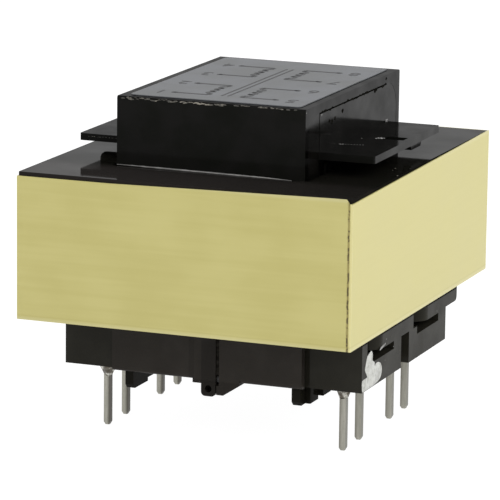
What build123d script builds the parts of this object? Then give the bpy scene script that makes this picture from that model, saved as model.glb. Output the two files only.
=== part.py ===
from build123d import *
import os

os.makedirs("parts", exist_ok=True)

# A board-mounted mains transformer: an E-I core lying flat, a split bobbin whose axis runs
# along X through its windows, covers over the coil, and two rows of four square pins.
# Millimetres. Z = 0 is the board's face, which the bobbin's feet stand on, and the pins
# reach below it. X runs from the primary row of pins to the secondary row, Y along the rows.

# Laminations: a 3/4 inch E-I size, stacked alternately
centre_leg = 19.05
outer_leg = 9.525
yoke = 9.525
window_width = 9.525
window_length = 28.575
lamination_thickness = 0.635
layer_laminations = 4
layer_count = 8

# Levels above the board
standoff = 2.8
rail_height = 8.3
cover_rise = 9.6

# Yellow tape wound round the edges of the stack
tape_thickness = 0.2
tape_seam = 0.1
tape_wrap = 0.45
tape_skew = 0.58
tape_low_length = 13.5
tape_level_end = 2.7

# Bobbin: tube, flanges, ledges over the yokes and feet
bore_clearance = 0.15
tube_wall = 1.0
tube_corner = 0.8
bobbin_end_clearance = 0.65
flange_thickness = 1.6
centre_flange_thickness = 1.2
flange_clearance = 0.3
ledge_half_length = 13.5
ledge_plate_thickness = 0.4
ledge_reach = 7.9
ledge_thickness = 1.0
ledge_gap = 2.0
ledge_corner = 0.3
ledge_slot_start = -0.2
ledge_slot_width = 2.1
ledge_slot_length = 2.9
ledge_slot_border = 0.6
ledge_rib_start = 2.6
ledge_rib_length = 5.0
ledge_rib_depth = 0.9
ledge_rib_width = 1.1
ledge_rib_slope = 0.6
foot_length = 5.2
foot_tail = 3.0
foot_tail_lift = 0.5
foot_slope = 2.8
foot_corner = 0.6
foot_setback = 0.4
foot_pad = 0.75
foot_pad_setback = 2.1

# Terminal rails
rail_setback = 2.06
rail_clearance = 0.01
rail_end_clearance = 0.1
web_setback = 0.23
band_height = 3.8
notch_cap = 0.9
slot_height = 1.1
slot_depth = 4.85
slot_before_pin = 1.3
slot_after_pin = 8.0
notch_before_pin = 2.9
notch_after_pin = 1.0
notch_depth = 3.0
guide_radius = 2.3
creepage_gap = 3.3
ear_length = 4.9
ear_width = 3.1
ear_depth = 2.2
ear_drop = 0.5
ear_corner = 0.7

# Pins
pin_inset = 4.29
pair_pitch = 6.35
pair_gap = 12.7
pin_side = 0.92
pin_below_board = 6.7
pin_embed = 2.6
pin_tip_length = 0.42
pin_tip_side = 0.52
solder_height = 2.1
solder_root_radius = 1.35
solder_tip_radius = 0.7
solder_sides = 8

# Windings and their tapes
winding_build = 4.0
outer_tape = 0.3
lead_radius = 0.3
lead_rise = 1.55
lead_margin = 1.2
lead_tail = 0.8
lead_slot_width = 1.0
lead_slot_rise = 0.45
lead_clearance = 0.02

# Covers and rating label
cover_clearance = 0.1
cover_wall = 1.2
cover_corner = 4.0
cover_edge = 0.3
cover_joint_gap = 0.2
shroud_drop = 8.4
shroud_clearance = 0.1
shroud_floor = 1.0
shroud_slit_start = 1.1
shroud_slit = 0.5
shroud_slit_drop = 0.6
shroud_setback = 0.69
shroud_corner = 0.6
floor_clearance = 0.22
label_margin_x = 1.3
label_margin_y = 1.2
label_thickness = 0.15

# Centre feet of the two shrouds, at the front and the back
boss_start = -1.0
boss_lift = 0.5
boss_corner = 0.6
boss_hole = 1.0
boss_hole_depth = 1.2
boss_depth = 2.0
boss_step = 1.25
boss_step_lift = 1.75
column_bulge = 0.2
column_clearance = 0.05
gusset_start = 1.25
gusset_lift = 0.8
gusset_flat = 1.0
gusset_end = 4.6
gusset_end_lift = 2.35

# Sizes that follow
core_bottom = standoff + rail_height
layer_height = lamination_thickness * layer_laminations
core_height = layer_height * layer_count
core_top = core_bottom + core_height
core_middle = (core_bottom + core_top) / 2
core_half_x = window_length / 2 + yoke
core_half_y = centre_leg / 2 + window_width + outer_leg
window_outer = centre_leg / 2 + window_width

bobbin_half = window_length / 2 - bobbin_end_clearance
flange_outer = bobbin_half - ledge_plate_thickness
flange_inner = flange_outer - flange_thickness
foot_outer = flange_outer - foot_setback
cover_half_y = window_outer - cover_clearance
cover_inner = cover_half_y - cover_wall
cover_top = core_top + cover_rise
flange_half = cover_inner - flange_clearance
flange_top = cover_top - cover_wall - floor_clearance

bore_y = centre_leg + 2 * bore_clearance
bore_z = core_height + 2 * bore_clearance
tube_y = bore_y + 2 * tube_wall
tube_z = bore_z + 2 * tube_wall

rail_outer = core_half_x - rail_setback
rail_inner = window_length / 2 + rail_clearance
rail_end = cover_inner - rail_end_clearance
web_end = rail_end - web_setback
slot_top = core_bottom - band_height
slot_floor = slot_top - slot_height
ledge_under = core_top + ledge_gap
ledge_outer = bobbin_half + ledge_reach
shroud_bottom = core_bottom - shroud_drop
shroud_top = shroud_bottom + shroud_floor
shroud_end = window_length / 2 - shroud_setback
wall_joint = core_middle

pin_x = rail_outer - pin_inset
pin_rows_y = [
    -pair_gap / 2 - pair_pitch,
    -pair_gap / 2,
    pair_gap / 2,
    pair_gap / 2 + pair_pitch,
]
pair_starts = [pin_rows_y[0], pin_rows_y[2]]
lead_z = core_middle - tube_z / 2 - winding_build + lead_rise
lead_x = pin_x - pin_side / 2 - lead_radius - lead_clearance


# Core: stamped E and I laminations, stacked in layers that are turned end for end in turn
def stacked(lamination):
    """One solid a layer, each the laminations that lie the same way, odd layers turned."""
    layers = []
    for layer in range(layer_count):
        level = core_bottom + layer * layer_height
        layers.append(Pos(0, 0, level) * Rot(0, 0, 180 * (layer % 2)) * lamination)
    return Compound(children=layers)


with BuildPart() as e_layer:
    with BuildSketch():
        with Locations((-core_half_x, 0)):
            Rectangle(yoke + window_length, 2 * core_half_y, align=(Align.MIN, Align.CENTER))
        for side in (-1, 1):
            with Locations((0, side * (centre_leg + window_width) / 2)):
                Rectangle(window_length, window_width, mode=Mode.SUBTRACT)
    extrude(amount=layer_height)

with BuildPart() as i_layer:
    with BuildSketch():
        with Locations((window_length / 2, 0)):
            Rectangle(yoke, 2 * core_half_y, align=(Align.MIN, Align.CENTER))
    extrude(amount=layer_height)

e_laminations = stacked(e_layer.part)
e_laminations.label = "e_laminations"
export_step(e_laminations, "parts/e_laminations.step")

i_laminations = stacked(i_layer.part)
i_laminations.label = "i_laminations"
export_step(i_laminations, "parts/i_laminations.step")


# Yellow tape: one strip round the four edges of the stack. Its last turn wraps a little way
# round a front corner to the seam. It lies askew, so its upper edge runs down to both front
# corners and leaves the steel bare over one half of the front
tape_half_x = core_half_x + tape_thickness
tape_half_y = core_half_y + tape_thickness
with BuildPart() as core_tape:
    with BuildSketch(Plane.XY.offset(core_bottom)):
        Rectangle(2 * tape_half_x, 2 * tape_half_y)
        Rectangle(2 * core_half_x, 2 * core_half_y, mode=Mode.SUBTRACT)
        with Locations((tape_half_x - tape_wrap, -tape_half_y)):
            Rectangle(
                tape_seam, tape_thickness, align=(Align.MAX, Align.MIN), mode=Mode.SUBTRACT
            )
    extrude(amount=core_height)
    for start in (-tape_half_x, core_half_x):
        with BuildSketch(Plane.YZ.offset(start)):
            with BuildLine():
                Polyline(
                    (-tape_half_y, core_top),
                    (-tape_half_y, core_top - tape_skew),
                    (core_half_y, core_top),
                    close=True,
                )
            make_face()
        extrude(amount=tape_thickness, mode=Mode.SUBTRACT)
    with BuildSketch(Plane.XZ.offset(core_half_y)):
        with BuildLine():
            Polyline(
                (tape_half_x, core_top),
                (tape_half_x - 2 * tape_wrap, core_top),
                (tape_half_x - tape_wrap, core_top - tape_skew),
                (tape_half_x, core_top - tape_skew),
                close=True,
            )
        make_face()
        with BuildLine():
            Polyline(
                (-tape_half_x, core_top),
                (-tape_half_x, core_top - tape_skew),
                (tape_low_length - tape_half_x, core_top - tape_skew),
                (tape_half_x - tape_level_end, core_top),
                close=True,
            )
        make_face()
    extrude(amount=tape_thickness, mode=Mode.SUBTRACT)
core_tape.part.label = "core_tape"
export_step(core_tape.part, "parts/core_tape.step")


# Bobbin: one moulding
with BuildPart() as bobbin:
    # Tube and the plates at its ends
    with BuildSketch(Plane.YZ.offset(-bobbin_half)):
        with Locations((0, core_middle)):
            RectangleRounded(tube_y, tube_z, tube_corner)
    extrude(amount=2 * bobbin_half)

    # End flanges, with a foot at each lower corner that stands on the board
    for start in (-flange_outer, flange_inner):
        with BuildSketch(Plane.YZ.offset(start)):
            with BuildLine():
                Polyline(
                    (0, flange_top),
                    (0, standoff),
                    (flange_half - foot_length - foot_tail - foot_slope, standoff),
                    (flange_half - foot_length - foot_tail, foot_tail_lift),
                    (flange_half - foot_length, foot_tail_lift),
                    (flange_half - foot_length, 0),
                    (flange_half - foot_corner, 0),
                    (flange_half, foot_corner),
                    (flange_half, flange_top - cover_corner),
                )
                RadiusArc(
                    (flange_half, flange_top - cover_corner),
                    (flange_half - cover_corner, flange_top),
                    -cover_corner,
                )
                Line((flange_half - cover_corner, flange_top), (0, flange_top))
            make_face()
            mirror(about=Plane.YZ)
        extrude(amount=flange_thickness)
    for side in (-1, 1):
        with Locations((side * (foot_outer + flange_outer) / 2, 0, 0)):
            Box(
                foot_setback,
                2 * flange_half,
                core_bottom,
                align=(Align.CENTER, Align.CENTER, Align.MIN),
                mode=Mode.SUBTRACT,
            )

    # Centre flange between the primary and the secondary
    with BuildSketch(Plane.YZ.offset(-centre_flange_thickness / 2)):
        with Locations((0, shroud_top + floor_clearance)):
            Rectangle(
                2 * flange_half,
                flange_top - cover_corner - shroud_top - floor_clearance,
                align=(Align.CENTER, Align.MIN),
            )
        with Locations((0, flange_top)):
            Rectangle(
                2 * (flange_half - cover_corner), cover_corner, align=(Align.CENTER, Align.MAX)
            )
    extrude(amount=centre_flange_thickness)

    # Upright plate and ledge over each yoke, with a wire slot and a rib under its edge
    for side in (-1, 1):
        with Locations((side * (bobbin_half + flange_outer) / 2, 0, flange_top)):
            Box(
                ledge_plate_thickness,
                2 * ledge_half_length,
                flange_top - ledge_under,
                align=(Align.CENTER, Align.CENTER, Align.MAX),
            )
        with BuildSketch(Plane.XY.offset(ledge_under)):
            with Locations((side * (flange_outer + ledge_outer) / 2, 0)):
                RectangleRounded(ledge_outer - flange_outer, 2 * ledge_half_length, ledge_corner)
        extrude(amount=ledge_thickness)
        with Locations((side * (ledge_outer - ledge_slot_border), ledge_slot_start, ledge_under)):
            Box(
                ledge_slot_length,
                ledge_slot_width,
                ledge_thickness,
                align=(Align.MAX if side > 0 else Align.MIN, Align.MIN, Align.MIN),
                mode=Mode.SUBTRACT,
            )
        with BuildSketch(Plane.YZ.offset(side * (ledge_outer - ledge_rib_width))):
            with BuildLine():
                Polyline(
                    (ledge_rib_start, ledge_under),
                    (ledge_rib_start + ledge_rib_slope, ledge_under - ledge_rib_depth),
                    (
                        ledge_rib_start + ledge_rib_length - ledge_rib_slope,
                        ledge_under - ledge_rib_depth,
                    ),
                    (ledge_rib_start + ledge_rib_length, ledge_under),
                    close=True,
                )
            make_face()
        extrude(amount=ledge_rib_width / 2, both=True)

    # Terminal rail under each yoke, joined to the flange by a web
    for side in (-1, 1):
        with Locations((side * (rail_inner + rail_outer) / 2, 0, standoff)):
            Box(
                rail_outer - rail_inner,
                2 * rail_end,
                rail_height,
                align=(Align.CENTER, Align.CENTER, Align.MIN),
            )
        with Locations((side * (foot_outer + rail_inner) / 2, 0, standoff)):
            Box(
                rail_inner - foot_outer,
                2 * web_end,
                rail_height,
                align=(Align.CENTER, Align.CENTER, Align.MIN),
            )

        # Pads under the web that thicken each foot and its tail
        outward = Align.MIN if side > 0 else Align.MAX
        for end, inward in ((-1, Align.MIN), (1, Align.MAX)):
            with Locations((side * foot_outer, end * (flange_half - foot_pad_setback), 0)):
                Box(
                    foot_pad,
                    foot_length - foot_pad_setback,
                    standoff,
                    align=(outward, inward, Align.MIN),
                )
            with Locations((side * foot_outer, end * (flange_half - foot_length), foot_tail_lift)):
                Box(
                    rail_inner - foot_outer,
                    foot_tail,
                    standoff - foot_tail_lift,
                    align=(outward, inward, Align.MIN),
                )

        # Ear that runs on from the rail's upper band at the back
        with BuildSketch(Plane.YZ.offset(side * (rail_outer - ear_depth / 2))):
            with Locations((rail_end + ear_length / 2, core_bottom - ear_drop - ear_width / 2)):
                RectangleRounded(ear_length, ear_width, ear_corner)
            with Locations((rail_end, core_bottom - ear_drop - ear_width / 2)):
                Rectangle(ear_length / 2, ear_width, align=(Align.MIN, Align.CENTER))
        extrude(amount=ear_depth / 2, both=True)

        # Gap between the two pairs of pins
        with Locations((side * (rail_inner + rail_outer) / 2, 0, standoff)):
            Box(
                rail_outer - rail_inner,
                creepage_gap,
                rail_height - band_height,
                align=(Align.CENTER, Align.CENTER, Align.MIN),
                mode=Mode.SUBTRACT,
            )

        # Wire slot over each pair, with a notch above it and a rounded guide beside the notch
        for pin_y in pair_starts:
            with Locations((side * (rail_outer - slot_depth / 2), pin_y - slot_before_pin, slot_floor)):
                Box(
                    slot_depth,
                    slot_before_pin + slot_after_pin,
                    slot_height,
                    align=(Align.CENTER, Align.MIN, Align.MIN),
                    mode=Mode.SUBTRACT,
                )
            with BuildSketch(Plane.XY.offset(slot_top)):
                with BuildLine():
                    Polyline(
                        (side * rail_outer, pin_y + notch_after_pin + guide_radius),
                        (side * rail_outer, pin_y - notch_before_pin),
                        (side * (rail_outer - notch_depth), pin_y - notch_before_pin),
                        (side * (rail_outer - notch_depth), pin_y + notch_after_pin),
                        (side * (rail_outer - guide_radius), pin_y + notch_after_pin),
                    )
                    RadiusArc(
                        (side * (rail_outer - guide_radius), pin_y + notch_after_pin),
                        (side * rail_outer, pin_y + notch_after_pin + guide_radius),
                        -side * guide_radius,
                    )
                make_face()
            extrude(amount=band_height - notch_cap, mode=Mode.SUBTRACT)

        # Socket for each pin, and the channel that its lead lies in
        for pin_y in pin_rows_y:
            with Locations((side * pin_x, pin_y, standoff)):
                Box(
                    pin_side,
                    pin_side,
                    pin_embed,
                    align=(Align.CENTER, Align.CENTER, Align.MIN),
                    mode=Mode.SUBTRACT,
                )
            with Locations((side * (rail_inner + pin_x) / 2, pin_y, standoff)):
                Box(
                    pin_x - rail_inner,
                    lead_slot_width,
                    lead_z + lead_slot_rise - standoff,
                    align=(Align.CENTER, Align.CENTER, Align.MIN),
                    mode=Mode.SUBTRACT,
                )
            with Locations((side * (flange_inner + rail_inner) / 2, pin_y, lead_z)):
                Box(
                    rail_inner - flange_inner,
                    lead_slot_width,
                    2 * lead_slot_rise,
                    mode=Mode.SUBTRACT,
                )

    # Bore for the centre leg
    with Locations((0, 0, core_middle)):
        Box(2 * bobbin_half, bore_y, bore_z, mode=Mode.SUBTRACT)
bobbin.part.label = "bobbin"
export_step(bobbin.part, "parts/bobbin.step")


# Windings and the tape over each
def ring(inner_end, outer_end, inner_build, outer_build):
    """A closed band round the tube between two X positions and two distances from the tube."""
    with BuildPart() as band:
        with BuildSketch(Plane.YZ.offset(inner_end)):
            with Locations((0, core_middle)):
                RectangleRounded(
                    tube_y + 2 * outer_build, tube_z + 2 * outer_build, tube_corner + outer_build
                )
                RectangleRounded(
                    tube_y + 2 * inner_build,
                    tube_z + 2 * inner_build,
                    tube_corner + inner_build,
                    mode=Mode.SUBTRACT,
                )
        extrude(amount=outer_end - inner_end)
    return band.part


winding_start = centre_flange_thickness / 2
tape_end = flange_inner - 2 * lead_margin

for side, name in ((-1, "primary"), (1, "secondary")):
    ends = sorted((side * winding_start, side * flange_inner))
    winding = ring(ends[0], ends[1], 0, winding_build)
    winding.label = name + "_winding"
    export_step(winding, "parts/" + name + "_winding.step")

    ends = sorted((side * winding_start, side * tape_end))
    wrap = ring(ends[0], ends[1], winding_build, winding_build + outer_tape)
    wrap.label = name + "_tape"
    export_step(wrap, "parts/" + name + "_tape.step")


# Pins, the leads from the windings to them, and the soldered joints
number = 0
for side in (-1, 1):
    for pin_y in pin_rows_y:
        number += 1
        with BuildPart() as pin:
            with Locations((side * pin_x, pin_y, standoff + pin_embed)):
                Box(
                    pin_side,
                    pin_side,
                    standoff + pin_embed + pin_below_board - pin_tip_length,
                    align=(Align.CENTER, Align.CENTER, Align.MAX),
                )
            with BuildSketch(Plane.XY.offset(pin_tip_length - pin_below_board)):
                with Locations((side * pin_x, pin_y)):
                    Rectangle(pin_side, pin_side)
            with BuildSketch(Plane.XY.offset(-pin_below_board)):
                with Locations((side * pin_x, pin_y)):
                    Rectangle(pin_tip_side, pin_tip_side)
            loft()
        pin.part.label = f"pin_{number}"
        export_step(pin.part, f"parts/pin_{number}.step")

        with BuildPart() as lead:
            with BuildLine() as route:
                Polyline(
                    (side * flange_inner, pin_y, lead_z),
                    (side * lead_x, pin_y, lead_z),
                    (side * lead_x, pin_y, standoff - lead_tail),
                )
            with BuildSketch(Plane(origin=route.line @ 0, z_dir=route.line % 0)):
                Circle(lead_radius)
            sweep(transition=Transition.RIGHT)
        lead.part.label = f"lead_{number}"
        export_step(lead.part, f"parts/lead_{number}.step")

        with BuildPart() as joint:
            with BuildSketch(Plane.XY.offset(standoff)):
                with Locations((side * pin_x, pin_y)):
                    RegularPolygon(solder_root_radius, solder_sides)
            with BuildSketch(Plane.XY.offset(standoff - solder_height)):
                with Locations((side * pin_x, pin_y)):
                    RegularPolygon(solder_tip_radius, solder_sides)
            loft()
            add(pin.part, mode=Mode.SUBTRACT)
            add(lead.part, mode=Mode.SUBTRACT)
        joint.part.label = f"solder_{number}"
        export_step(joint.part, f"parts/solder_{number}.step")


# Cover over the coil: a channel whose walls reach down into the windows, open at both ends
with BuildPart() as coil_cover:
    with BuildSketch(Plane.YZ.offset(-bobbin_half)):
        with Locations((0, wall_joint + cover_joint_gap / 2)):
            Rectangle(
                2 * cover_half_y,
                cover_top - wall_joint - cover_joint_gap / 2,
                align=(Align.CENTER, Align.MIN),
            )
    extrude(amount=2 * bobbin_half)
    fillet(coil_cover.edges().filter_by(Axis.X).group_by(Axis.Z)[-1], cover_edge)
    with BuildSketch(Plane.YZ.offset(-bobbin_half)):
        with Locations((0, cover_top - cover_wall)):
            Rectangle(
                2 * (cover_inner - cover_corner),
                cover_corner,
                align=(Align.CENTER, Align.MAX),
            )
        for side in (-1, 1):
            with Locations((side * (cover_inner - cover_corner), cover_top - cover_wall - cover_corner)):
                Circle(cover_corner)
        with Locations((0, cover_top - cover_wall - cover_corner)):
            Rectangle(
                2 * cover_inner,
                cover_top - cover_wall - cover_corner - wall_joint,
                align=(Align.CENTER, Align.MAX),
            )
    extrude(amount=2 * bobbin_half, mode=Mode.SUBTRACT)
coil_cover.part.label = "coil_cover"
export_step(coil_cover.part, "parts/coil_cover.step")


# Shrouds under the coil: a channel round each half, with walls up into the windows
def shroud(start, end, floor_start, floor_end):
    """A channel from start to end, whose floor is cut away outside the flanges."""
    with BuildPart() as channel:
        with BuildSketch(Plane.YZ.offset(start)):
            with Locations((0, shroud_bottom)):
                Rectangle(
                    2 * cover_half_y,
                    wall_joint - cover_joint_gap / 2 - shroud_bottom,
                    align=(Align.CENTER, Align.MIN),
                )
        extrude(amount=end - start)
        fillet(channel.edges().filter_by(Axis.X).group_by(Axis.Z)[0], shroud_corner)
        with Locations((start, 0, shroud_top)):
            Box(
                end - start,
                2 * cover_inner,
                wall_joint - shroud_top,
                align=(Align.MIN, Align.CENTER, Align.MIN),
                mode=Mode.SUBTRACT,
            )
        for low, high in ((start, floor_start), (floor_end, end)):
            if high > low:
                with Locations((low, 0, shroud_bottom)):
                    Box(
                        high - low,
                        2 * cover_inner,
                        shroud_floor,
                        align=(Align.MIN, Align.CENTER, Align.MIN),
                        mode=Mode.SUBTRACT,
                    )
    return channel.part


slit_end = shroud_slit_start + shroud_slit
floor_end = flange_inner - floor_clearance
boss_width = shroud_slit_start - boss_start
boss_middle = (shroud_slit_start + boss_start) / 2

with BuildPart() as primary_shroud:
    add(shroud(shroud_clearance - rail_inner, shroud_slit_start, -floor_end, shroud_slit_start))
    for side in (-1, 1):
        # Rounded centre foot with a step beside it
        with BuildSketch(Plane.XZ.offset(-side * (cover_half_y - boss_depth / 2))) as foot:
            with Locations((boss_middle, boss_lift)):
                Rectangle(
                    boss_width,
                    shroud_bottom + shroud_corner - boss_lift,
                    align=(Align.CENTER, Align.MIN),
                )
            fillet(foot.vertices().group_by(Axis.Y)[0], boss_corner)
            with Locations((boss_start, boss_lift + boss_step_lift)):
                Rectangle(
                    boss_step,
                    shroud_bottom + shroud_corner - boss_lift - boss_step_lift,
                    align=(Align.MAX, Align.MIN),
                )
        extrude(amount=boss_depth / 2, both=True)

        # Column that bulges from the wall above it
        with BuildSketch(Plane.XY.offset(shroud_bottom)):
            with BuildLine():
                ThreePointArc(
                    (boss_start, side * cover_half_y),
                    (boss_middle, side * (cover_half_y + column_bulge)),
                    (shroud_slit_start, side * cover_half_y),
                )
                Line((shroud_slit_start, side * cover_half_y), (boss_start, side * cover_half_y))
            make_face()
        extrude(amount=core_bottom - column_clearance - shroud_bottom)

        # Blind hole in the foot's outer face
        with BuildSketch(Plane.XZ.offset(-side * cover_half_y)):
            with Locations((boss_middle, boss_lift + boss_width / 2)):
                Circle(boss_hole / 2)
        extrude(amount=boss_hole_depth, both=True, mode=Mode.SUBTRACT)
primary_shroud.part.label = "primary_shroud"
export_step(primary_shroud.part, "parts/primary_shroud.step")

with BuildPart() as secondary_shroud:
    add(shroud(slit_end, shroud_end, slit_end, floor_end))
    for side in (-1, 1):
        # Centre foot that slopes up to the wall
        with BuildSketch(Plane.XZ.offset(-side * (cover_half_y - boss_depth / 2))):
            with BuildLine():
                Polyline(
                    (slit_end, shroud_bottom + shroud_corner),
                    (slit_end, shroud_bottom - shroud_slit_drop),
                    (gusset_start, shroud_bottom - shroud_slit_drop),
                    (gusset_start, gusset_lift),
                    (gusset_start + gusset_flat, gusset_lift),
                    (gusset_end, gusset_end_lift),
                    (gusset_end, shroud_bottom + shroud_corner),
                    close=True,
                )
            make_face()
        extrude(amount=boss_depth / 2, both=True)
secondary_shroud.part.label = "secondary_shroud"
export_step(secondary_shroud.part, "parts/secondary_shroud.step")


# Rating label on the cover
with BuildPart() as rating_label:
    with BuildSketch(Plane.XY.offset(cover_top)):
        Rectangle(2 * (bobbin_half - label_margin_x), 2 * (cover_half_y - label_margin_y))
    extrude(amount=label_thickness)
rating_label.part.label = "rating_label"
export_step(rating_label.part, "parts/rating_label.step")
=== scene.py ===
import math
import random

import bpy
from mathutils import Matrix, Vector, noise
from mathutils.geometry import tessellate_polygon

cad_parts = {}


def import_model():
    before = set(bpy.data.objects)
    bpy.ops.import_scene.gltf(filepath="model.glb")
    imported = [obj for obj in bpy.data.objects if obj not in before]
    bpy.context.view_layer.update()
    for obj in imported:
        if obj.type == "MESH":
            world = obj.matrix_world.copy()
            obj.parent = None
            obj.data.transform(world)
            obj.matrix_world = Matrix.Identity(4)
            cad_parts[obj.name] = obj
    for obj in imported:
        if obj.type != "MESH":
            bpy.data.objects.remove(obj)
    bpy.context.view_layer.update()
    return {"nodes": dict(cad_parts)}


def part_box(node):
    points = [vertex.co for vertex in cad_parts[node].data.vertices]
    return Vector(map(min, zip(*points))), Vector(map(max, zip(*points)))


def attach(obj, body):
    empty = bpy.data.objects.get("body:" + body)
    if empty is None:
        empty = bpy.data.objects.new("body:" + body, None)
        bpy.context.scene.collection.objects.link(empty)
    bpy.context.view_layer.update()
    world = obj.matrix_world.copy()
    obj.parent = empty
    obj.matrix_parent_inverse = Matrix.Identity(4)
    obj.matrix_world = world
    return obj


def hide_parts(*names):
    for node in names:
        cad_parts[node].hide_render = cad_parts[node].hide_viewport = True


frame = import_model()

# Lengths are in millimetres, and MM turns them into Blender's metres
MM = 0.001


# Shader writing: a socket that takes part in Python arithmetic, and a finish that adds nodes
class Value:
    """A shader socket on which + - * and comparisons add Math nodes."""

    def __init__(self, finish, socket):
        self.finish = finish
        self.socket = socket

    def _math(self, operation, *others):
        return self.finish.add("Math", {"operation": operation}, [self, *others])

    def __add__(self, other):
        return self._math("ADD", other)

    __radd__ = __add__

    def __mul__(self, other):
        return self._math("MULTIPLY", other)

    __rmul__ = __mul__

    def __sub__(self, other):
        return self._math("SUBTRACT", other)

    def __rsub__(self, other):
        return self.finish.add("Math", {"operation": "SUBTRACT"}, [other, self])

    def __gt__(self, other):
        return self._math("GREATER_THAN", other)

    def __lt__(self, other):
        return self._math("LESS_THAN", other)

    def __abs__(self):
        return self._math("ABSOLUTE")

    def most(self, other):
        return self._math("MAXIMUM", other)

    def ramp(self, low, high):
        """0 below low, 1 above high and smooth between."""
        settings = {"interpolation_type": "SMOOTHSTEP"}
        return self.finish.add("MapRange", settings, {"Value": self, "From Min": low, "From Max": high})


class Finish:
    """A node material (or the world) built from expressions."""

    def __init__(self, owner):
        owner.use_nodes = True
        self.owner = owner
        self.tree = owner.node_tree
        self.tree.nodes.clear()

    def node(self, kind, settings=None, inputs=None):
        """A new node: its settings first, then the values or links of its sockets."""
        node = self.tree.nodes.new("ShaderNode" + kind)
        for name, value in (settings or {}).items():
            setattr(node, name, value)
        pairs = enumerate(inputs) if isinstance(inputs, list) else (inputs or {}).items()
        for name, value in pairs:
            socket = node.inputs[name]
            if isinstance(value, Value):
                self.tree.links.new(value.socket, socket)
            elif hasattr(socket.default_value, "__len__") and len(socket.default_value) == 4:
                socket.default_value = (*value, 1)
            else:
                socket.default_value = value
        return node

    def add(self, kind, settings=None, inputs=None, output=0):
        """One output of a new node, ready for arithmetic."""
        return Value(self, self.node(kind, settings, inputs).outputs[output])

    def place(self, scale=(1, 1, 1)):
        """The row frame's coordinates in millimetres, stretched by scale."""
        spot = self.add("TexCoord", output="Object")
        factors = tuple(s / MM for s in scale)
        return self.add("VectorMath", {"operation": "MULTIPLY"}, [spot, factors])

    def facing(self):
        """1 on the faces that look along X, 1 on those along Y and 1 on those that look up."""
        x, y, z = self.split(self.add("TexCoord", output="Normal"))
        return abs(x).ramp(0.6, 0.9), abs(y).ramp(0.6, 0.9), z.ramp(0.6, 0.9)

    def split(self, vector):
        """The X, Y and Z of a vector."""
        return [Value(self, out) for out in self.node("SeparateXYZ", None, [vector]).outputs]

    def speckle(self, vector, scale, detail=2.0, rough=0.5):
        """Smooth noise from 0 to 1."""
        inputs = {"Vector": vector, "Scale": scale, "Detail": detail, "Roughness": rough}
        return self.add("TexNoise", None, inputs)

    def blend(self, factor, low, high):
        """A colour between low and high."""
        # A Mix node has a set of sockets for each type of data, and these are the colours'
        return self.add("Mix", {"data_type": "RGBA"}, {0: factor, 6: low, 7: high}, output=2)

    def bump(self, height, distance, strength=1.0):
        inputs = {"Height": height, "Distance": distance * MM, "Strength": strength}
        return self.add("Bump", None, inputs)

    def surface(self, **inputs):
        """The principled surface, sockets named with underscores, wired to the output."""
        named = {name.replace("_", " "): value for name, value in inputs.items()}
        self.wire(self.add("BsdfPrincipled", None, named), "OutputMaterial")
        return self.owner

    def wire(self, shader, kind):
        self.node(kind, None, {"Surface": shader})


def new_finish(name):
    return Finish(bpy.data.materials.new(name))


def rgb(red, green, blue):
    """Screen values from 0 to 255 as the linear colour that renders so."""
    parts = [v / 255 for v in (red, green, blue)]
    return tuple(v / 12.92 if v <= 0.04045 else ((v + 0.055) / 1.055) ** 2.4 for v in parts)


def shaded(colour, factor):
    """A colour made darker or lighter."""
    return tuple(factor * part for part in colour)


# Sizes read from the frame
def corners(node):
    """A node's lowest and highest corners."""
    low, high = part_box(node)
    return Vector(low) / MM, Vector(high) / MM


core_low, core_high = corners("e_laminations")
cover_low, cover_high = corners("coil_cover")
_, label_high = corners("rating_label")
tape_low, tape_high = corners("core_tape")
_, bobbin_high = corners("bobbin")
pin_low, pin_high = corners("pin_1")
_, solder_high = corners("solder_1")

core_bottom = core_low.z
core_top = core_high.z
cover_top = cover_high.z
cover_front = cover_low.y
cover_end = cover_high.x
label_top = label_high.z
rail_face = bobbin_high.x
rail_underside = solder_high.z
row_of_pins = -(pin_low.x + pin_high.x) / 2
tape_middle = (tape_low.z + tape_high.z) / 2
# The tape's last turn ends on the front, just short of the corner
seam_x = tape_high.x - 0.5
# The ledges belong to the bobbin, so the frame doesn't give their levels
ledge_top = core_top + 3.0
ledge_under = core_top + 2.0
pins = range(1, 9)


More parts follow.
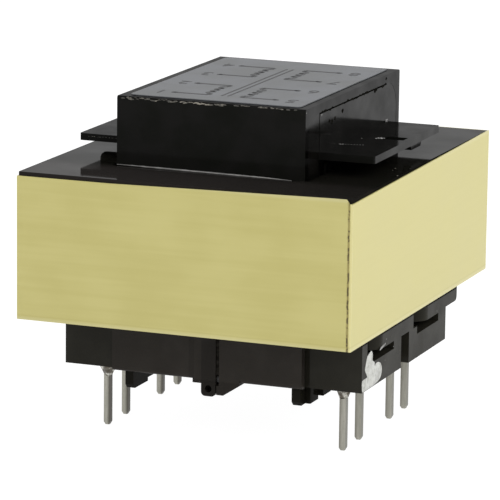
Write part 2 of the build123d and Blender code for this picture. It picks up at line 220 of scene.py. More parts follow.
# Finishes
def yellow_tape():
    f = new_finish("yellow_polyester_tape")
    streaks = f.speckle(f.place((0.04, 0.04, 1.1)), 1.0, 3.0, 0.55)
    cloud = f.speckle(f.place((0.1, 0.1, 0.16)), 1.0, 2.0, 0.5)
    x, y, z = f.split(f.place())
    # The side strips are smoother than the front one, and painted a little paler as a painted highlight
    endways, _, _ = f.facing()
    uneven = (streaks * 0.4 + cloud * 0.6).ramp(0.34, 0.66) - 0.5
    colour = f.blend(uneven * (1 - endways * 0.55) + 0.5, (0.515, 0.463, 0.16), (0.562, 0.51, 0.192))
    colour = f.blend(endways * 0.35, colour, (0.62, 0.565, 0.225))
    # Painted highlight along both edges of the strip, which is 20.3 mm wide
    edge = abs(z - tape_middle).ramp(9.5, 10.05)
    colour = f.blend(edge * 0.4, colour, (0.64, 0.6, 0.34))
    # The last turn's end catches more light past the seam, where it rounds the corner
    on_front = y < tape_low.y + 0.1
    rounding = (x - seam_x).ramp(0.1, 0.3) * on_front
    colour = f.blend(rounding * 0.9, colour, (0.73, 0.67, 0.31))
    # Old adhesive has stained both sides of the seam on the front
    wander = f.speckle(f.place((0.2, 0.2, 1.3)), 1.0, 2.0, 0.6)
    dashes = f.speckle(f.place((0.3, 0.3, 0.62)), 1.5, 3.0, 0.7)
    from_seam = abs(seam_x - x + (wander - 0.5) * 0.35) + (y - tape_low.y) * 2
    halo = (1 - from_seam.ramp(0.12, 0.24)) * 0.75
    colour = f.blend(halo, colour, (0.36, 0.3, 0.1))
    dash = (1 - from_seam.ramp(0.07, 0.15)) * dashes.ramp(0.47, 0.56)
    colour = f.blend(dash * 0.9, colour, (0.085, 0.065, 0.025))
    # A darker line just above the lower edge
    darker_line = abs(z - tape_low.z - 0.5 - wander * 0.2)
    colour = f.blend((1 - darker_line.ramp(0.02, 0.14)) * 0.25, colour, (0.4, 0.35, 0.1))
    ripple = f.speckle(f.place((0.05, 0.05, 0.35)), 1.0, 2.0, 0.5)
    return f.surface(
        Base_Color=colour,
        Roughness=0.3 + cloud * 0.12,
        Specular_IOR_Level=0.5,
        Normal=f.bump(ripple + streaks * 0.1, 0.1, 0.35),
    )


def seam_adhesive():
    f = new_finish("seam_adhesive")
    dashes = f.speckle(f.place((0.3, 0.3, 0.62)), 1.5, 3.0, 0.7)
    return f.surface(
        Base_Color=f.blend(dashes.ramp(0.44, 0.56), (0.36, 0.3, 0.095), (0.1, 0.075, 0.022)),
        Roughness=0.45,
        Specular_IOR_Level=0.4,
        Normal=f.bump(dashes, 0.1, 0.5),
    )


def black_varnish():
    f = new_finish("black_varnished_steel")
    pools = f.speckle(f.place((0.14, 0.14, 0.14)), 1.0, 3.0, 0.55)
    dust = f.speckle(f.place(), 3.2, 2.0, 0.6)
    x, y, _ = f.split(f.place())
    # The top in front of the cover is browner, most of all towards the primary end
    in_front = 1 - (y - core_low.y).ramp(7.0, 10.5)
    brown = in_front * (1 - x.ramp(-4.0, 26.0) * 0.6)
    colour = f.blend(brown, (0.007, 0.0068, 0.0054), (0.0215, 0.019, 0.0178))
    colour = f.blend(dust.ramp(0.7, 0.85), colour, (0.022, 0.02, 0.017))
    # The stamped edges have no gloss, only the dipped top and underside
    level = (core_high.x - 0.02 > abs(x)) * (core_high.y - 0.02 > abs(y))
    return f.surface(
        Base_Color=colour,
        Roughness=0.6,
        Specular_IOR_Level=0.0,
        Coat_Weight=(0.2 + pools * 0.18) * level,
        Coat_Roughness=0.05,
        Coat_IOR=1.5,
        Normal=f.bump(pools, 0.5, 0.35),
    )


def black_moulding(name, upper, lower, coat, rough, foot_shade):
    """A dipped black moulding: upper is its colour above the core's underside, lower below it."""
    f = new_finish(name)
    grain = f.speckle(f.place(), 5.0, 3.0, 0.6)
    flow = f.speckle(f.place((0.22, 0.22, 0.22)), 1.0, 3.0, 0.55)
    x, _, z = f.split(f.place())
    _, sideways, upward = f.facing()
    below = z < core_bottom
    patch = flow.ramp(0.4, 0.75) * 0.45
    above_colour = f.blend(patch, upper, shaded(upper, 1.8))
    below_colour = f.blend(patch, lower, shaded(lower, 1.35))
    colour = f.blend(below, above_colour, below_colour)
    dark = shaded(lower, 0.3)
    # Painted shadow, dull and dark, where the core overhangs it, and painted shade on the feet under it
    depth = core_bottom - z
    rail_side = abs(x) > rail_face - 0.1
    overhang_shadow = (1 - (depth - rail_side * 1.55).ramp(0.2, 0.4)) * below
    foot = 1 - z.ramp(rail_underside - 0.25, rail_underside + 0.05)
    dull = (overhang_shadow * 0.85).most(foot * foot_shade)
    colour = f.blend(dull, colour, dark)
    # Painted shade on the column over the primary shroud's middle foot, and on a strip beside it
    column = (x > -1.0) * (x < 1.1) * 0.5
    strip = (x > -2.85) * (x < -2.05) * 0.22
    colour = f.blend((column + strip) * sideways * below, colour, dark)
    # Painted shading by face direction: the walls above the core that look along its length get their own
    # tone and less gloss than the ends
    matt = sideways * (1 - below)
    wall_shading_tone = f.blend(flow.ramp(0.35, 0.65), (0.0075, 0.0078, 0.0065), (0.0098, 0.0095, 0.0088))
    colour = f.blend(matt, colour, wall_shading_tone)
    # The painted shadow and shade take the gloss away too
    gloss = (0.55 + flow * 0.9) * coat * (1 - dull)
    return f.surface(
        Base_Color=colour,
        Roughness=0.55 + grain * 0.15,
        Specular_IOR_Level=0.0,
        Coat_Weight=gloss * (1 - below * 0.24) * (1 - upward * 0.5) * (1 - matt * 0.7),
        Coat_Roughness=rough,
        Coat_IOR=1.3,
        Normal=f.bump(grain * 0.35 + flow, 0.12, 0.4),
    )


def dried_varnish():
    f = new_finish("dried_varnish")
    grain = f.speckle(f.place(), 2.4, 3.0, 0.6)
    flakes = f.speckle(f.place((0.5, 0.5, 0.5)), 1.0, 2.0, 0.5)
    dull = f.blend(grain.ramp(0.4, 0.65), (0.045, 0.042, 0.034), (0.16, 0.148, 0.122))
    return f.surface(
        Base_Color=f.blend(flakes.ramp(0.54, 0.62), dull, (0.31, 0.285, 0.235)),
        Roughness=0.32,
        Specular_IOR_Level=0.5,
        Normal=f.bump(grain, 0.12, 0.6),
    )


def set_varnish(name, dark, light):
    """Varnish that has run and set, with no shine left."""
    f = new_finish(name)
    grain = f.speckle(f.place(), 1.6, 3.0, 0.6)
    return f.surface(
        Base_Color=f.blend(grain.ramp(0.35, 0.65), dark, light),
        Roughness=0.7 + grain * 0.15,
        Specular_IOR_Level=0.0,
        Normal=f.bump(grain, 0.1, 0.5),
    )


def clear_varnish():
    # Pale grey, a painted highlight for varnish beads and glints
    f = new_finish("varnish_bead")
    grain = f.speckle(f.place((0.6, 0.6, 0.6)), 1.0, 2.0, 0.5)
    return f.surface(
        Base_Color=f.blend(grain.ramp(0.35, 0.65), (0.16, 0.155, 0.15), (0.26, 0.255, 0.245)),
        Roughness=0.25,
        Specular_IOR_Level=0.5,
        Normal=f.bump(grain, 0.1, 0.4),
    )


def tinned_wire():
    f = new_finish("tinned_square_wire")
    streak = f.speckle(f.place((3.0, 3.0, 0.35)), 1.0, 3.0, 0.6)
    spots = f.speckle(f.place(), 2.6, 2.0, 0.6)
    x, _, _ = f.split(f.place())
    colour = f.blend(streak.ramp(0.3, 0.7), (0.31, 0.304, 0.26), (0.39, 0.38, 0.33))
    colour = f.blend(spots.ramp(0.64, 0.76) * 0.35, colour, (0.18, 0.155, 0.125))
    # Painted shade on the facets that look along X
    endways, _, _ = f.facing()
    colour = f.blend(endways * 0.62, colour, (0.11, 0.106, 0.09))
    # Painted shade on the side that faces the windings, more so in the primary row
    inward = row_of_pins - abs(x)
    inner_shade = inward.ramp(-0.05, 0.46) * (0.45 + (x < 0) * 0.4)
    colour = f.blend(inner_shade, colour, (0.05, 0.043, 0.034))
    return f.surface(
        Base_Color=colour,
        Metallic=0.85,
        Roughness=0.34 + streak * 0.12,
        Normal=f.bump(streak, 0.02, 0.3),
    )


def bright_solder():
    f = new_finish("bright_solder")
    flow = f.speckle(f.place(), 1.3, 2.0, 0.5)
    flux = f.speckle(f.place((0.8, 0.8, 0.8)), 1.0, 2.0, 0.5)
    # The light and dark patches are painted glints on the solder, and the brown patches over them are flux
    colour = f.blend(flow.ramp(0.42, 0.64), (0.11, 0.1, 0.085), (0.5, 0.49, 0.44))
    colour = f.blend(flux.ramp(0.47, 0.57) * 0.85, colour, (0.07, 0.058, 0.04))
    return f.surface(
        Base_Color=colour,
        Metallic=1.0,
        Roughness=0.16 + flow * 0.16,
        Normal=f.bump(flow, 0.25, 0.8),
    )


def grey_label():
    f = new_finish("grey_label_film")
    cloud = f.speckle(f.place((0.15, 0.15, 0.15)), 1.0, 3.0, 0.5)
    grain = f.speckle(f.place(), 4.0, 2.0, 0.5)
    return f.surface(
        Base_Color=f.blend(cloud.ramp(0.3, 0.7), rgb(86, 88, 89), rgb(101, 103, 107)),
        Roughness=0.42 + cloud * 0.1,
        Specular_IOR_Level=0.3,
        Normal=f.bump(grain * 0.2 + cloud, 0.06, 0.4),
    )


def label_ink():
    f = new_finish("label_ink")
    grain = f.speckle(f.place(), 6.0, 2.0, 0.5)
    return f.surface(
        Base_Color=f.blend(grain, (0.014, 0.015, 0.016), (0.03, 0.031, 0.033)),
        Roughness=0.5,
        Specular_IOR_Level=0.3,
    )


def copper_wire():
    f = new_finish("enamelled_copper")
    wire_pitch = 0.42
    x, _, _ = f.split(f.place())
    turns = f.add("Math", {"operation": "SINE"}, [x * (2 * math.pi / wire_pitch)])
    tint = f.speckle(f.place(), 0.8, 2.0, 0.5)
    return f.surface(
        Base_Color=f.blend(tint, (0.42, 0.12, 0.035), (0.55, 0.2, 0.07)),
        Metallic=0.7,
        Roughness=0.3,
        Normal=f.bump(turns, 0.1, 0.8),
    )


def coil_film():
    f = new_finish("coil_tape_film")
    cloud = f.speckle(f.place((0.2, 0.2, 0.2)), 1.0, 2.0, 0.5)
    return f.surface(
        Base_Color=f.blend(cloud, rgb(190, 180, 112), rgb(208, 198, 135)),
        Roughness=0.4,
        Normal=f.bump(cloud, 0.2, 0.4),
    )


def white_paint():
    f = new_finish("white_marking_paint")
    grain = f.speckle(f.place(), 1.6, 3.0, 0.6)
    smear = f.speckle(f.place((0.6, 0.6, 0.6)), 1.0, 2.0, 0.5)
    thin = (grain * 0.5 + smear * 0.5).ramp(0.36, 0.6)
    return f.surface(
        Base_Color=f.blend(thin, rgb(168, 169, 163), rgb(206, 207, 202)),
        Roughness=0.42,
        Normal=f.bump(grain, 0.15, 0.6),
    )


TAPE = yellow_tape()
VARNISH = black_varnish()
COVER = black_moulding(
    "black_cover_nylon",
    upper=(0.0012, 0.0011, 0.0009),
    lower=(0.008, 0.0075, 0.006),
    coat=0.45,
    rough=0.1,
    foot_shade=0.0,
)
SHROUD = black_moulding(
    "black_shroud_nylon",
    upper=(0.006, 0.006, 0.005),
    lower=(0.0292, 0.0255, 0.0215),
    coat=0.46,
    rough=0.16,
    foot_shade=0.25,
)
BOBBIN = black_moulding(
    "black_bobbin_nylon",
    upper=(0.004, 0.0038, 0.0033),
    lower=(0.0205, 0.0192, 0.0145),
    coat=0.49,
    rough=0.12,
    foot_shade=0.65,
)
PIN = tinned_wire()
SOLDER = bright_solder()
LABEL = grey_label()
INK = label_ink()
COPPER = copper_wire()
FILM = coil_film()
PAINT = white_paint()
CRUST = dried_varnish()
ADHESIVE = seam_adhesive()
BLACK_RUN = set_varnish("black_varnish_run", (0.004, 0.004, 0.003), (0.012, 0.011, 0.009))
SLIT_RUN = set_varnish("dark_varnish_in_the_slit", (0.012, 0.011, 0.009), (0.03, 0.027, 0.023))
BROWN_RUN = set_varnish("brown_varnish_run", (0.05, 0.042, 0.036), (0.085, 0.072, 0.062))
BEAD_HIGHLIGHT = clear_varnish()


# The CAD nodes that stay
def dress(node, material, edge=None):
    """Gives a carried-over node its finish, and edge rounds its sharp edges."""
    piece = frame["nodes"][node]
    piece.data.materials.clear()
    piece.data.materials.append(material)
    for face in piece.data.polygons:
        face.material_index = 0
    if edge:
        merge = piece.modifiers.new("merge_flats", "DECIMATE")
        merge.decimate_type = "DISSOLVE"
        merge.angle_limit = math.radians(0.5)
        soften = piece.modifiers.new("soft_edges", "BEVEL")
        soften.width = edge * MM
        soften.segments = 2
        soften.limit_method = "ANGLE"
        soften.angle_limit = math.radians(40)
        soften.use_clamp_overlap = True
        soften.harden_normals = True


dress("e_laminations", VARNISH)
dress("i_laminations", VARNISH)
dress("core_tape", TAPE)
dress("bobbin", BOBBIN, 0.12)
dress("coil_cover", COVER, 0.15)
dress("primary_shroud", SHROUD, 0.12)
dress("secondary_shroud", SHROUD, 0.12)
for winding in ("primary_winding", "secondary_winding"):
    dress(winding, COPPER)
for wrap in ("primary_tape", "secondary_tape"):
    dress(wrap, FILM)
for number in pins:
    dress(f"pin_{number}", PIN, 0.06)
    dress(f"lead_{number}", COPPER)


# Shapes for the pieces built here
def adopt(name, mesh, material):
    """Makes a mesh a piece that rides on the part."""
    mesh.materials.clear()
    mesh.materials.append(material)
    piece = bpy.data.objects.new(name, mesh)
    bpy.context.collection.objects.link(piece)
    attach(piece, "root")
    return piece


def add_piece(name, points, faces, material, slot, smooth=True):
    mesh = bpy.data.meshes.new(name)
    mesh.from_pydata([tuple(Vector(point) * MM) for point in points], [], faces)
    for face in mesh.polygons:
        face.use_smooth = smooth
    mesh.update()
    return adopt(name, mesh, material)


class Heap:
    """Points and faces of several shapes that make one piece."""

    def __init__(self):
        self.points = []
        self.faces = []

    def take(self, points, faces):
        first = len(self.points)
        self.points.extend(points)
        self.faces.extend([tuple(first + index for index in face) for face in faces])

    def piece(self, name, material, slot, smooth=True):
        return add_piece(name, self.points, self.faces, material, slot, smooth)


def rings(rows):
    """A closed shape through rows of points, each a closed ring of as many points."""
    count = len(rows[0])
    points = [point for row in rows for point in row]
    faces = []
    for level in range(len(rows) - 1):
        for step in range(count):
            after = (step + 1) % count
            low, high = level * count, (level + 1) * count
            faces.append((low + step, low + after, high + after, high + step))
    faces.append(tuple(reversed(range(count))))
    faces.append(tuple((len(rows) - 1) * count + step for step in range(count)))
    return points, faces


def wobble(point, size, seed):
    """A smooth random offset of about one unit either way."""
    return noise.noise(Vector(point) / size + Vector((seed * 7.3, seed * 3.1, seed * 5.7)))


def full_turn(steps):
    """Angles evenly round a circle."""
    return [2 * math.pi * step / steps for step in range(steps)]


def lump(centre, radii, seed, rough=0.25, around=8, levels=5):
    """An uneven drop."""
    rows = []
    for level in range(levels + 1):
        # The first and last rings are small but open
        lift = math.pi * (0.04 + 0.92 * level / levels)
        row = []
        for turn in full_turn(around):
            flat = math.sin(lift)
            way = Vector((flat * math.cos(turn), flat * math.sin(turn), -math.cos(lift)))
            swell = 1 + rough * wobble(way, 0.7, seed)
            row.append(Vector(centre) + Vector([w * r * swell for w, r in zip(way, radii)]))
        rows.append(row)
    return rings(rows)


def direction(path, index):
    """The way that a path runs at one of its points."""
    before = Vector(path[max(index - 1, 0)])
    after = Vector(path[min(index + 1, len(path) - 1)])
    return (after - before).normalized()


def tube(path, radii, around=8, squash=1.0, seed=0):
    """A round bead along a path, with a radius at each of its points."""
    rows = []
    for index, (spot, radius) in enumerate(zip(path, radii)):
        along = direction(path, index)
        side = along.cross(Vector((0, 0, 1))).normalized()
        up = side.cross(along)
        row = []
        for step, turn in enumerate(full_turn(around)):
            reach = radius * (1 + 0.2 * wobble((index, step, 0), 1.7, seed))
            row.append(Vector(spot) + side * math.cos(turn) * reach + up * math.sin(turn) * reach * squash)
        rows.append(row)
    return rings(rows)


def ribbon(path, width, low, high):
    """A flat printed line along a path on the label."""
    rows = []
    for index, spot in enumerate(path):
        along = direction(path, index)
        side = Vector((-along.y, along.x)) * width / 2
        left = (spot[0] + side.x, spot[1] + side.y)
        right = (spot[0] - side.x, spot[1] - side.y)
        rows.append([(*left, low), (*right, low), (*right, high), (*left, high)])
    return rings(rows)


def arc(middle, radius, start, end, steps=8):
    """Points along an arc from one angle to another, in degrees."""
    points = []
    for step in range(steps + 1):
        turn = math.radians(start + (end - start) * step / steps)
        points.append((middle[0] + radius * math.cos(turn), middle[1] + radius * math.sin(turn)))
    return points


def specks(name, marks, material, slot):
    """Small flecks, each a place on a face and its three radii."""
    heap = Heap()
    for index, (spot, radii) in enumerate(marks):
        heap.take(*lump(spot, radii, index + 0.5, 0.5, 7, 4))
    heap.piece(name, material, slot)


# The label
print_depth = 0.02
film_top = label_top - print_depth


def label_film():
    """The label film, with rounded corners and a fine bevel."""
    corner = 0.8
    bevel = 0.03
    inset = 0.04
    outline = []
    for quarter in range(4):
        sign_x = 1 if quarter in (0, 3) else -1
        sign_y = 1 if quarter in (0, 1) else -1
        middle = (sign_x * (label_high.x - corner), sign_y * (label_high.y - corner))
        outline += arc(middle, corner, 90 * quarter, 90 * quarter + 90, 6)
    shrink = 1 - inset / label_high.x
    rows = [[(x, y, level) for x, y in outline] for level in (cover_top, film_top - bevel)]
    rows.append([(x * shrink, y * shrink, film_top) for x, y in outline])
    film = add_piece("label_film", *rings(rows), LABEL, "label_film", smooth=False)
    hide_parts("rating_label")


# Where the pin numbers stand along the label's long edges
number_rows = (-13.8, -5.5, 2.8, 11.1)


def label_drawing():
    """A drawing of the four windings, each with its two terminals, and the core between them."""
    line, thin_line = 0.6, 0.3
    coil_out, terminal_out = 2.4, 7.4
    turns = 4
    stub = 1.0
    ink = Heap()

    def draw(path, width):
        ink.take(*ribbon(path, width, film_top, label_top))

    for side in (-1, 1):
        coil_x = side * coil_out
        terminal_x = side * terminal_out
        bow = 90 - 180 * (side > 0)
        for low, high in (number_rows[:2], number_rows[2:]):
            radius = (high - low - 2 * stub) / (2 * turns)
            for turn in range(turns):
                middle = (coil_x, low + stub + radius * (2 * turn + 1))
                draw(arc(middle, radius, bow, bow + 180), line)
            for end_y, way in ((low, stub), (high, -stub)):
                draw([(terminal_x, end_y), (coil_x, end_y)], line)
                draw([(coil_x, end_y), (coil_x, end_y + way)], line)
                draw(arc((terminal_x, end_y), 0.28, 0, 360, 12), thin_line)
    for core_line in (-0.45, 0.45):
        draw([(core_line, number_rows[0]), (core_line, number_rows[3])], thin_line)
    ink.piece("label_winding_drawing", INK, "label_film", smooth=False)


def label_number(number, x, y):
    """A plain pin number, read from the back of the part."""
    curve = bpy.data.curves.new(f"label_number_{number}", "FONT")
    curve.body = str(number)
    curve.size = 3.4 * MM
    curve.align_x = "CENTER"
    curve.align_y = "CENTER"
    curve.extrude = print_depth / 2 * MM
    text = bpy.data.objects.new("text", curve)
    bpy.context.collection.objects.link(text)
    text.location = Vector((x, y, (film_top + label_top) / 2)) * MM
    text.rotation_euler = (0, 0, math.pi)
    bpy.context.view_layer.update()
    shape = text.evaluated_get(bpy.context.evaluated_depsgraph_get())
    mesh = bpy.data.meshes.new_from_object(shape)
    mesh.transform(text.matrix_world)
    bpy.data.objects.remove(text)
    adopt(f"label_number_{number}", mesh, INK)


def label_numbers():
    """Pins 1 to 4 are in the primary row, and 5 to 8 in the secondary one."""
    for index, y in enumerate(number_rows):
        label_number(1 + index, -9.3, y)
    for index, y in enumerate(number_rows):
        label_number(5 + index, 9.7, y)


# Varnish, adhesive, paint and solder
def between(stops, x):
    """The values at x on a line that bends at the stops, each an x and its values."""
    for start, end in zip(stops, stops[1:]):
        if x <= end[0]:
            break
    share = (x - start[0]) / (end[0] - start[0])
    return [a + (b - a) * share for a, b in zip(start[1:], end[1:])]


def varnish_bead():
    """The bright line along the foot of the cover's front wall, a bead of varnish coloured pale as a painted
    highlight.
    """
    # X, how far the line stands before the wall, and how far above the core
    stops = [(-13.6, -0.05, 0.12), (-0.8, -0.1, 0.03), (9.0, -0.42, 0.03), (12.0, -0.72, 0.02)]
    first, last = stops[0][0], stops[-1][0]
    steps = 46
    path = []
    radii = []
    for step in range(steps + 1):
        x = first + (last - first) * step / steps
        out, lift = between(stops, x)
        drift = 0.06 * wobble((x, 0, 0), 2.5, 3)
        path.append((x, cover_front + out + drift, core_top + lift + 0.03))
        taper = min(1, 0.35 + 3 * min(step, steps - step) / steps)
        radii.append(0.15 * taper * (1 + 0.25 * wobble((x, 5, 0), 1.1, 4)))
    add_piece("varnish_bead", *tube(path, radii, 8, 0.8, 5), BEAD_HIGHLIGHT, "core_steel")


def varnish_crust():
    """Dried drips along the cover's upper front edge, dense at one end and thin at the other."""
    draw = random.Random(11)
    dense_until, crust_end = 2, 12.5
    crust = Heap()
    x = cover_low.x + 0.8
    while x < crust_end:
        # How often a drip comes, its largest size and how far down it may sit
        chance, largest, deepest = (0.85, 0.19, 0.2) if x < dense_until else (0.5, 0.13, 0.08)
        if draw.random() < chance:
            size = draw.uniform(0.07, largest)
            top = cover_top - size - draw.uniform(0.0, deepest)
            spot = (x, cover_front + 0.04, top)
            radii = (size * draw.uniform(1.4, 3.2), size * 0.4, size * draw.uniform(0.5, 0.9))
            crust.take(*lump(spot, radii, draw.uniform(0, 90), 0.5))
        x += draw.uniform(0.14, 0.42)
    crust.piece("varnish_crust", CRUST, "cover_plastic")


def cover_flecks():
    """Flecks of dried varnish on the secondary ledge and on the cover's end beside it, coloured bright as
    painted glints.
    """
    marks = []
    for step in range(9):
        share = step / 8
        size = 0.13 if step < 2 else 0.06
        spot = (14.0 + 3.1 * share, -6.5 + 0.7 * share, ledge_top)
        marks.append((spot, (size * 1.5, size, size * 0.5)))
    spots = ((17.0, -0.3, 0.16), (17.25, 0.0, 0.24), (17.6, 0.1, 0.3), (17.95, 0.35, 0.14))
    for x, y, size in spots:
        marks.append(((x, y, ledge_top), (size, size * 0.9, size * 0.4)))
    marks.append(((15.2, -1.0, ledge_top), (0.08, 0.07, 0.04)))
    marks.append(((cover_end + 0.04, 13.5, ledge_top + 0.14), (0.1, 0.6, 0.14)))
    marks.append(((cover_end + 0.15, 13.2, ledge_top), (0.12, 0.5, 0.07)))
    marks.append(((cover_end - 0.02, -12.86, core_top + 8.0), (0.06, 0.2, 0.24)))
    marks.append(((cover_end - 0.02, cover_front + 0.3, cover_top - 0.45), (0.04, 0.14, 0.09)))
    specks("varnish_glint_flecks", marks, BEAD_HIGHLIGHT, "cover_plastic")


def core_flecks():
    """Flecks of dried varnish on the core's top, beside the secondary ledge, placed and coloured as painted
    glints.
    """
    marks = []
    spots = ((21.54, -5.08, 0.11), (23.6, -10.07, 0.13), (23.39, -4.29, 0.07), (21.7, -6.6, 0.06))
    for x, y, size in spots:
        marks.append(((x, y, core_top), (size, size * 0.8, 0.04)))
    specks("core_flecks", marks, CRUST, "core_steel")


def ledge_flecks():
    """A broken line of dried varnish along the front edge of the primary ledge, standing in for a broken
    painted highlight.
    """
    marks = []
    x = -20.2
    while x < -15.2:
        size = 0.13 + 0.16 * wobble((x, 3, 0), 0.4, 7)
        level = ledge_top - 0.38 + 0.08 * wobble((x, 9, 1), 0.8, 4)
        marks.append(((x, -13.5, level), (size, 0.012, 0.035)))
        x += 0.4 + 0.4 * wobble((x, 0, 5), 0.3, 3)
    specks("ledge_flecks", marks, CRUST, "bobbin_plastic")


def rail_flecks():
    """Bright flecks on the outer face of the secondary rail, partly coloured as painted varnish glints."""
    # Y, height above the core's underside, and size
    smear = [
        (-10.3, -3.78, 0.3),
        (-9.9, -3.68, 0.4),
        (-9.4, -3.58, 0.36),
        (-8.9, -3.5, 0.34),
        (-8.4, -3.42, 0.26),
    ]
    spots = [
        (-7.95, -2.85, 0.15),
        (-4.93, -4.54, 0.14),
        (-8.31, -5.74, 0.1),
        (18.74, -1.09, 0.12),
        (15.81, -1.44, 0.1),
        (13.72, -3.41, 0.12),
        (17.2, -1.2, 0.07),
    ]
    marks = []
    for y, z, size in smear + spots:
        marks.append(((rail_face - 0.01, y, core_bottom + z), (0.04, size, size * 0.5)))
    specks("rail_flecks", marks, BEAD_HIGHLIGHT, "bobbin_plastic")


def varnish_runs():
    """Black blotches along the joint between the upright plate and the roof of the cover."""
    draw = random.Random(4)
    joint = cover_top - 1.2
    thick = 0.06
    marks = []
    y = -12.9
    while y < 13.3:
        size = draw.uniform(0.1, 0.3)
        spot = (cover_end, y, joint - 0.1 + draw.uniform(-0.14, 0.12))
        marks.append((spot, (thick, size * draw.uniform(1.0, 2.2), size * draw.uniform(0.4, 0.8))))
        y += draw.uniform(0.35, 1.1)
    # Larger blotches away from the joint: Y, how far below it, and size
    large = [
        (-9.8, 1.7, 0.22),
        (-8.8, 1.9, 0.3),
        (-7.6, 1.7, 0.24),
        (-4.6, 1.1, 0.3),
        (13.2, -0.7, 0.2),
        (8.6, 0.35, 0.3),
    ]
    for y, drop, size in large:
        marks.append(((cover_end, y, joint - drop), (thick, size * 1.5, size)))
    specks("varnish_runs", marks, BLACK_RUN, "cover_plastic")


def seam_line():
    """Adhesive that fills the gap between the two ends of the tape."""
    bottom, top = tape_low.z + 0.1, tape_high.z - 0.7
    face = tape_low.y + 0.03
    back = face + 0.1
    steps = 60
    rows = []
    for step in range(steps + 1):
        z = bottom + (top - bottom) * step / steps
        half = 0.085 + 0.03 * wobble((0, 0, z), 0.9, 6)
        middle = seam_x + 0.02 * wobble((4, 0, z), 1.6, 8)
        foot = [(middle - half, back, z), (middle - half / 2, face, z)]
        rows.append([*foot, (middle + half / 2, face, z), (middle + half, back, z)])
    add_piece("seam_adhesive", *rings(rows), ADHESIVE, "yellow_tape")


def varnish_fill():
    """Varnish that fills the steps at the sides of the upright plate, up to the cover's walls."""
    cover_wall = 1.1
    wall = -cover_front - cover_wall
    ceiling = cover_top - cover_wall
    corner = 4.0
    floor_level = core_top + 0.3
    depths = (cover_end - 0.45, cover_end - 0.02)
    heap = Heap()
    for side, plate_edge in ((1, 13.52), (-1, 13.7)):
        outline = [(plate_edge, floor_level), (wall, floor_level)]
        outline += arc((wall - corner, ceiling - corner), corner, 0, 90)
        outline.append((plate_edge, ceiling))
        if side < 0:
            outline.reverse()
        heap.take(*rings([[(depth, side * y, z) for y, z in outline] for depth in depths]))
    heap.piece("varnish_fill", BOBBIN, "bobbin_plastic", smooth=False)


def slit_varnish():
    """Varnish set in the slits between the two shrouds, at the front and the back."""
    left, right = 1.04, 1.66
    bottom, top = 3.6, core_bottom - 0.2
    steps = 20
    heap = Heap()
    for side in (1, -1):
        rows = []
        for step in range(steps + 1):
            z = bottom + (top - bottom) * step / steps
            face = side * (cover_front + 0.16 + 0.05 * wobble((side, 0, z), 0.8, 3))
            inner = side * (cover_front + 0.6)
            rows.append([(left, inner, z), (left, face, z), (right, face, z), (right, inner, z)][::side])
        heap.take(*rings(rows))
    heap.piece("slit_varnish", SLIT_RUN, "bobbin_plastic")


def varnish_drip():
    """A set drip that hangs under the primary ledge and shows in the gloss of the core."""
    low, high = Vector((-21.3, -7.4)), Vector((-15.2, -5.6))
    middle = (low + high) / 2
    squareness = 0.35
    rows = []
    for drop, inset in ((0.0, 0.0), (0.6, 0.02), (1.0, 0.15), (1.22, 0.4), (1.3, 0.75)):
        half_x, half_y = ((b - a) / 2 - inset for a, b in zip(low, high))
        row = []
        for turn in full_turn(24):
            way_x, way_y = math.cos(turn), math.sin(turn)
            reach_x = math.copysign(abs(way_x) ** squareness, way_x)
            reach_y = math.copysign(abs(way_y) ** squareness, way_y)
            row.append((middle.x + half_x * reach_x, middle.y + half_y * reach_y, ledge_under - drop))
        rows.append(list(reversed(row)))
    add_piece("varnish_drip", *rings(rows), BROWN_RUN, "bobbin_plastic")


def curve_point(a, b, c, d, t):
    """A number between b, at t = 0, and c, at t = 1, on a smooth curve through all four."""
    bend = (2 * a - 5 * b + 4 * c - d) * t**2
    turn = (3 * b - a - 3 * c + d) * t**3
    return 0.5 * (2 * b + (c - a) * t + bend + turn)


def paint_dab():
    """A dab of white paint on the outer face of the secondary rail."""
    # Y and height above the core's underside
    outline = [
        (-13.93, -3.21), (-13.65, -3.49), (-13.58, -3.95), (-13.49, -4.6), (-12.74, -4.99), (-12.63, -5.55),
        (-11.94, -5.34), (-11.1, -5.36), (-10.22, -5.68), (-9.79, -6.22), (-9.75, -6.95), (-10.11, -7.59),
        (-10.74, -7.94), (-12.56, -8.2), (-14.38, -8.25), (-16.44, -8.25), (-17.3, -8.22), (-17.6, -7.5),
        (-17.58, -6.74), (-17.04, -6.57), (-15.63, -6.55), (-15.78, -6.14), (-16.32, -5.57), (-16.43, -5.11),
        (-16.17, -4.63), (-15.77, -3.92), (-15.41, -3.55), (-14.52, -3.26),
    ]
    rounded_edge = 0.14
    thick = 0.09
    steps = 4
    fine = []
    for index, here in enumerate(outline):
        before, after, beyond = (outline[(index + step) % len(outline)] for step in (-1, 1, 2))
        for step in range(steps):
            ends = zip(before, here, after, beyond)
            fine.append(tuple(curve_point(*four, step / steps) for four in ends))
    inner = []
    count = len(fine)
    for index, (y, z) in enumerate(fine):
        before, after = fine[index - 1], fine[(index + 1) % count]
        along = Vector((after[0] - before[0], after[1] - before[1])).normalized()
        inner.append((y + along.y * rounded_edge, z - along.x * rounded_edge))
    low = [(rail_face, y, z + core_bottom) for y, z in fine]
    high = []
    for y, z in inner:
        high.append((rail_face + thick + 0.04 * wobble((y, z, 0), 0.9, 2), y, z + core_bottom))
    faces = [(i, (i + 1) % count, count + (i + 1) % count, count + i) for i in range(count)]
    for triangle in tessellate_polygon([[Vector((0, y, z)) for y, z in inner]]):
        faces.append(tuple(count + index for index in triangle))
    add_piece("paint_dab", low + high, faces, PAINT, "bobbin_plastic")


# The joints with the most solder: how wide and how tall against the others
big_joints = {1: (1.55, 1.2), 5: (1.25, 1.05)}


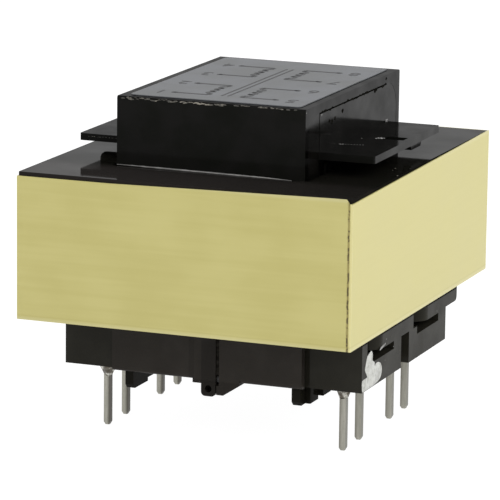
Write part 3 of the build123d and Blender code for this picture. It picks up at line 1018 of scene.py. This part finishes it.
def solder_joints():
    """An uneven fillet of solder at the root of each pin."""
    collar = 0.53
    spread = 0.8
    hollow = 1.15
    levels, around = 9, 18
    for number in pins:
        low, high = corners(f"solder_{number}")
        pin_base, pin_head = corners(f"pin_{number}")
        pin = (pin_base + pin_head) / 2
        wide, tall = big_joints.get(number, (0.92 + 0.1 * math.sin(2.3 * number), 1.0))
        rows = []
        for level in range(levels + 1):
            drop = level / levels
            fillet = collar + spread * wide * (1 - drop) ** hollow
            row = []
            for turn in full_turn(around):
                way = (math.cos(turn), math.sin(turn))
                reach = fillet * (1 + 0.14 * wobble((*way, drop * 1.4), 0.8, number))
                uneven = tall * (1 + 0.12 * wobble((turn, 0, 0), 1.0, number + 9))
                z = high.z - (high.z - low.z) * drop * uneven
                row.append((pin.x + reach * way[0], pin.y + reach * way[1], z))
            rows.append(row)
        blob = add_piece(f"solder_fillet_{number}", *rings(rows), SOLDER, "solder")
        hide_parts(f"solder_{number}")


label_film()
label_drawing()
label_numbers()
varnish_bead()
varnish_crust()
cover_flecks()
core_flecks()
ledge_flecks()
rail_flecks()
varnish_runs()
seam_line()
varnish_fill()
slit_varnish()
varnish_drip()
paint_dab()
solder_joints()


# Floor, lamps, world and camera
def floor():
    """A plain floor just under the pins, white to the camera and in reflections."""
    level = (pin_low.z - 0.01) * MM
    bpy.ops.mesh.primitive_plane_add(size=8000 * MM, location=(0, 0, level))
    plane = bpy.context.object
    plane.name = "floor"
    f = new_finish("white_floor")
    camera_ray = f.add("LightPath", output="Is Camera Ray")
    glossy_ray = f.add("LightPath", output="Is Glossy Ray")
    white = f.add("Emission", None, {"Color": (1, 1, 1), "Strength": 1.18})
    matt = f.add("BsdfDiffuse", None, {"Color": (0.9, 0.9, 0.9)})
    seen = camera_ray.most(glossy_ray) * 0.82
    f.wire(f.add("MixShader", None, [seen, matt, white]), "OutputMaterial")
    plane.data.materials.append(f.owner)


def world():
    """Soft light all round, white where the camera, gloss or glass sees it."""
    sky = bpy.data.worlds.new("studio")
    bpy.context.scene.world = sky
    f = Finish(sky)
    camera_ray = f.add("LightPath", output="Is Camera Ray")
    glossy_ray = f.add("LightPath", output="Is Glossy Ray")
    clear_ray = f.add("LightPath", output="Is Transmission Ray")
    soft = f.add("Background", None, {"Color": (1, 1, 1), "Strength": 0.8})
    white = f.add("Background", None, {"Color": (1, 1, 1), "Strength": 1.0})
    seen = camera_ray.most(glossy_ray).most(clear_ray)
    f.wire(f.add("MixShader", None, [seen, soft, white]), "OutputWorld")


def lamp(name, place, size, power, aim=(0, 0, 0.02)):
    """A flat lamp, placed, sized and aimed in metres."""
    light = bpy.data.lights.new(name, "AREA")
    light.shape = "RECTANGLE"
    light.size, light.size_y = size
    light.energy = power
    holder = bpy.data.objects.new(name, light)
    bpy.context.collection.objects.link(holder)
    holder.location = place
    toward = Vector(aim) - Vector(place)
    holder.rotation_euler = toward.to_track_quat("-Z", "Y").to_euler()


def camera():
    """The photograph's view: turned 21 degrees from the front and 12 above the horizon."""
    turn, rise, roll = (math.radians(angle) for angle in (21.24, 11.87, 0.708))
    aim = Vector((-1.445, 0, core_bottom + 6.0))
    distance = 528.475
    picture_px = 500
    focal_px = 3775.24
    level = math.cos(rise)
    back = Vector((math.sin(turn) * level, -math.cos(turn) * level, math.sin(rise)))
    right = (-back).cross(Vector((0, 0, 1))).normalized()
    up = right.cross(-back)
    across = math.cos(roll) * right + math.sin(roll) * up
    upright = -math.sin(roll) * right + math.cos(roll) * up
    lens = bpy.data.cameras.new("camera")
    lens.sensor_width = 36
    lens.lens = focal_px * lens.sensor_width / picture_px
    lens.clip_start, lens.clip_end = 0.01, 20
    holder = bpy.data.objects.new("camera", lens)
    bpy.context.collection.objects.link(holder)
    place = Matrix.Translation((aim + back * distance) * MM)
    holder.matrix_world = place @ Matrix((across, upright, back)).transposed().to_4x4()
    bpy.context.scene.camera = holder


floor()
world()
lamp("key", (0.75, -0.25, 0.55), (0.5, 0.4), 3.5)
lamp("fill", (-0.6, -0.45, 0.35), (0.5, 0.5), 0.5)
camera()
bpy.context.scene.view_settings.view_transform = "Standard"
